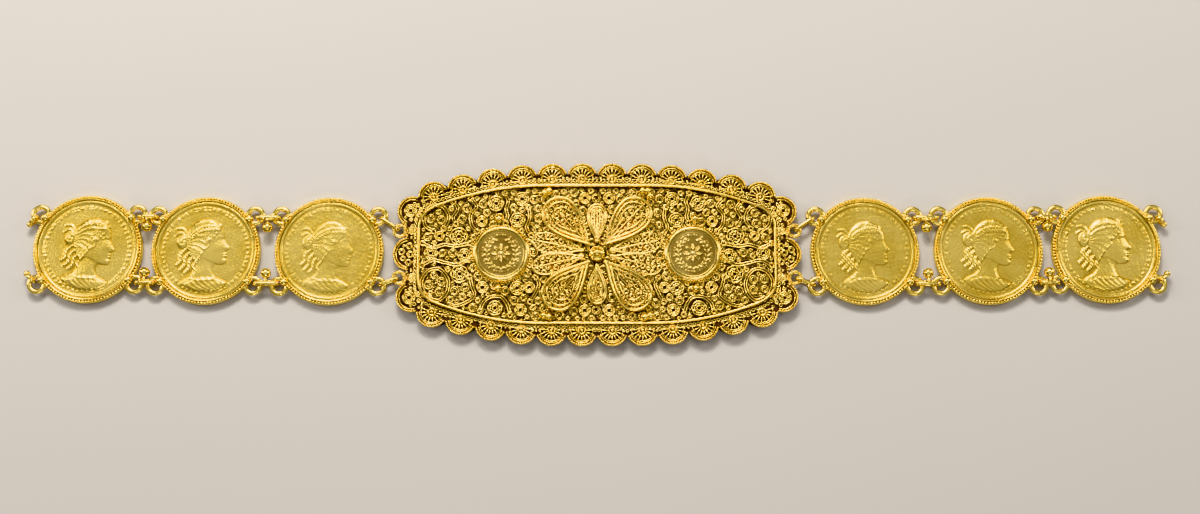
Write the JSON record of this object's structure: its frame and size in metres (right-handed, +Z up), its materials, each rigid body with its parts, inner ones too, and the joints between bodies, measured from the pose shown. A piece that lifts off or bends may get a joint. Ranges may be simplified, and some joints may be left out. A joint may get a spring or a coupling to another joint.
{
  "type": "coin belt",
  "caption": "All-metal waist belt laid flat: a scalloped filigree buckle plaque with a raised flower, and coins in beaded frames linked to each side.",
  "frame": {"origin": "centre of the footprint of the belt laid flat, on the surface it rests on, under the middle of the plaque", "axes": "+X along the belt to the right as pictured, +Y across the belt away from the viewer, +Z up out of the coins' faces"},
  "size_m": [0.4612, 0.0728, 0.0082],
  "materials": {
    "bright_gold": "polished gold plate",
    "coin_gold": "satin gold, worn relief",
    "filigree_gold": "bright gold wire with dark recesses",
    "old_coin_gold": "olive, aged gold"
  },
  "bodies": {
    "plaque": {"plaque_sheet": "filigree_gold", "plaque_back_strip": "filigree_gold", "plaque_scallop_rim": "filigree_gold", "plaque_frame_wire": "filigree_gold", "flower_boss": "bright_gold", "upper_spear": "filigree_gold", "lower_spear": "filigree_gold", "left_upper_petal": "filigree_gold", "left_lower_petal": "filigree_gold", "right_upper_petal": "filigree_gold", "right_lower_petal": "filigree_gold", "left_upper_leaf": "filigree_gold", "left_lower_leaf": "filigree_gold", "right_upper_leaf": "filigree_gold", "right_lower_leaf": "filigree_gold", "left_small_bezel": "filigree_gold", "right_small_bezel": "filigree_gold", "left_small_coin": "old_coin_gold", "right_small_coin": "old_coin_gold", "left_upper_grain": "bright_gold", "left_lower_grain": "bright_gold", "right_upper_grain": "bright_gold", "right_lower_grain": "bright_gold", "left_upper_grains": "bright_gold", "right_upper_grains": "bright_gold", "left_lower_grains": "bright_gold", "right_lower_grains": "bright_gold"},
    "left_plaque_links": {"left_plaque_upper_link": "bright_gold", "left_plaque_lower_link": "bright_gold"},
    "left_inner_unit": {"left_inner_bezel": "bright_gold", "left_inner_coin": "coin_gold"},
    "left_inner_links": {"left_inner_upper_link": "bright_gold", "left_inner_lower_link": "bright_gold"},
    "left_middle_unit": {"left_middle_bezel": "bright_gold", "left_middle_coin": "coin_gold"},
    "left_middle_links": {"left_middle_upper_link": "bright_gold", "left_middle_lower_link": "bright_gold"},
    "left_outer_unit": {"left_outer_bezel": "bright_gold", "left_outer_coin": "coin_gold"},
    "left_upper_end": {"left_outer_upper_end_ring": "bright_gold"},
    "left_lower_end": {"left_outer_lower_end_ring": "bright_gold"},
    "right_plaque_links": {"right_plaque_upper_link": "bright_gold", "right_plaque_lower_link": "bright_gold"},
    "right_inner_unit": {"right_inner_bezel": "bright_gold", "right_inner_coin": "coin_gold"},
    "right_inner_links": {"right_inner_upper_link": "bright_gold", "right_inner_lower_link": "bright_gold"},
    "right_middle_unit": {"right_middle_bezel": "bright_gold", "right_middle_coin": "coin_gold"},
    "right_middle_links": {"right_middle_upper_link": "bright_gold", "right_middle_lower_link": "bright_gold"},
    "right_outer_unit": {"right_outer_bezel": "bright_gold", "right_outer_coin": "coin_gold"},
    "right_upper_end": {"right_outer_upper_end_ring": "bright_gold"},
    "right_lower_end": {"right_outer_lower_end_ring": "bright_gold"}
  },
  "joints": [
    {"name": "left_plaque_hinge", "type": "hinge", "parent": "plaque", "child": "left_plaque_links", "pos_m": [-0.08173, 0, 0.00245], "axis": [0, 1, 0], "range_deg": [-35, 35]},
    {"name": "left_inner_near_hinge", "type": "hinge", "parent": "left_plaque_links", "child": "left_inner_unit", "pos_m": [-0.086, 0, 0.00245], "axis": [0, 1, 0], "range_deg": [-35, 35]},
    {"name": "left_inner_far_hinge", "type": "hinge", "parent": "left_inner_unit", "child": "left_inner_links", "pos_m": [-0.13045, 0, 0.00245], "axis": [0, 1, 0], "range_deg": [-35, 35]},
    {"name": "left_middle_near_hinge", "type": "hinge", "parent": "left_inner_links", "child": "left_middle_unit", "pos_m": [-0.13575, 0, 0.00245], "axis": [0, 1, 0], "range_deg": [-35, 35]},
    {"name": "left_middle_far_hinge", "type": "hinge", "parent": "left_middle_unit", "child": "left_middle_links", "pos_m": [-0.18025, 0, 0.00245], "axis": [0, 1, 0], "range_deg": [-35, 35]},
    {"name": "left_outer_near_hinge", "type": "hinge", "parent": "left_middle_links", "child": "left_outer_unit", "pos_m": [-0.18345, 0, 0.00245], "axis": [0, 1, 0], "range_deg": [-35, 35]},
    {"name": "left_upper_end_hinge", "type": "hinge", "parent": "left_outer_unit", "child": "left_upper_end", "pos_m": [-0.22739, 0.01431, 0.00245], "axis": [0.7071, -0.7071, 0], "range_deg": [-60, 60]},
    {"name": "left_lower_end_hinge", "type": "hinge", "parent": "left_outer_unit", "child": "left_lower_end", "pos_m": [-0.22739, -0.01011, 0.00245], "axis": [0.7071, 0.7071, 0], "range_deg": [-60, 60]},
    {"name": "right_plaque_hinge", "type": "hinge", "parent": "plaque", "child": "right_plaque_links", "pos_m": [0.08173, 0, 0.00245], "axis": [0, -1, 0], "range_deg": [-35, 35]},
    {"name": "right_inner_near_hinge", "type": "hinge", "parent": "right_plaque_links", "child": "right_inner_unit", "pos_m": [0.086, 0, 0.00245], "axis": [0, -1, 0], "range_deg": [-35, 35]},
    {"name": "right_inner_far_hinge", "type": "hinge", "parent": "right_inner_unit", "child": "right_inner_links", "pos_m": [0.13045, 0, 0.00245], "axis": [0, -1, 0], "range_deg": [-35, 35]},
    {"name": "right_middle_near_hinge", "type": "hinge", "parent": "right_inner_links", "child": "right_middle_unit", "pos_m": [0.13575, 0, 0.00245], "axis": [0, -1, 0], "range_deg": [-35, 35]},
    {"name": "right_middle_far_hinge", "type": "hinge", "parent": "right_middle_unit", "child": "right_middle_links", "pos_m": [0.18025, 0, 0.00245], "axis": [0, -1, 0], "range_deg": [-35, 35]},
    {"name": "right_outer_near_hinge", "type": "hinge", "parent": "right_middle_links", "child": "right_outer_unit", "pos_m": [0.18345, 0, 0.00245], "axis": [0, -1, 0], "range_deg": [-35, 35]},
    {"name": "right_upper_end_hinge", "type": "hinge", "parent": "right_outer_unit", "child": "right_upper_end", "pos_m": [0.22739, 0.01431, 0.00245], "axis": [0.7071, 0.7071, 0], "range_deg": [-60, 60]},
    {"name": "right_lower_end_hinge", "type": "hinge", "parent": "right_outer_unit", "child": "right_lower_end", "pos_m": [0.22739, -0.01011, 0.00245], "axis": [0.7071, -0.7071, 0], "range_deg": [-60, 60]}
  ]
}
